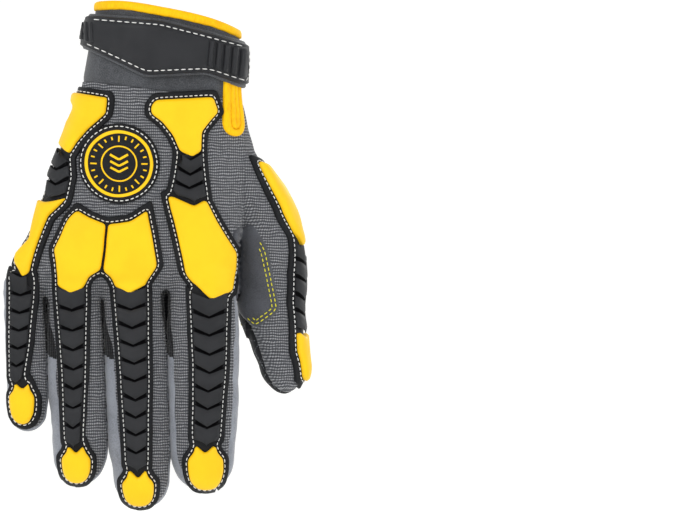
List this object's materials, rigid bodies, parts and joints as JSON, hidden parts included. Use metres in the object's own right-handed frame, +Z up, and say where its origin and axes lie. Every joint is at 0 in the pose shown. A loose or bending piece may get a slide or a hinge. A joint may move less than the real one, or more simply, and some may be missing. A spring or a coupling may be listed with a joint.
{
  "type": "anti vibration glove",
  "caption": "Padded work glove for the right hand with a grey knit back, black printed palm and yellow moulded rubber knuckle and fingertip guards, strapped cuff",
  "frame": {"origin": "middle of the cuff's opening, where the hand goes in", "axes": "+Z is up, out of the cuff, with the fingers hanging down; the back of the hand faces -Y, the palm +Y, and the thumb is on +X"},
  "size_m": [0.1578, 0.0677, 0.2552],
  "materials": {
    "knit_grey": "ribbed polyester knit, matt",
    "suede_grey": "microfibre suede, matt",
    "palm_black": "synthetic leather with a printed grip pattern",
    "neoprene_grey": "neoprene faced with fine jersey",
    "rubber_black": "moulded thermoplastic rubber, satin",
    "rubber_yellow": "moulded thermoplastic rubber, satin",
    "tape_yellow": "woven binding tape",
    "snap_black": "black lacquered press stud"
  },
  "bodies": {
    "root": {"back_knit": "knit_grey", "badge_disc": "rubber_black", "badge_ring": "rubber_yellow", "cap_index": "rubber_yellow", "cap_middle": "rubber_yellow", "cap_pinky": "rubber_yellow", "cap_ring": "rubber_yellow", "cap_thumb": "rubber_yellow", "cuff": "neoprene_grey", "cuff_binding": "tape_yellow", "cuff_patch": "suede_grey", "finger_back_knit": "knit_grey", "finger_side_walls": "suede_grey", "guard_base_index": "rubber_black", "guard_base_pinky": "rubber_black", "guard_base_ring_middle": "rubber_black", "guard_base_thumb": "rubber_black", "index_tip_patch": "palm_black", "pad_index_knuckle": "rubber_yellow", "pad_index_wrist": "rubber_yellow", "pad_middle_knuckle": "rubber_yellow", "pad_pinky_knuckle": "rubber_yellow", "pad_pinky_wrist": "rubber_yellow", "pad_ring_knuckle": "rubber_yellow", "pad_thumb": "rubber_yellow", "palm_leather": "palm_black", "slit_binding": "tape_yellow", "snap_ring": "snap_black", "snap_stud": "snap_black", "strap_cover": "rubber_black", "strap_tape": "rubber_black", "strip_index": "rubber_black", "strip_index_wrist": "rubber_black", "strip_middle": "rubber_black", "strip_pinky": "rubber_black", "strip_pinky_wrist": "rubber_black", "strip_ring": "rubber_black", "strip_thumb": "rubber_black", "thumb_knit": "knit_grey", "thumb_leather": "palm_black", "thumb_tip_patch": "palm_black"}
  },
  "joints": []
}
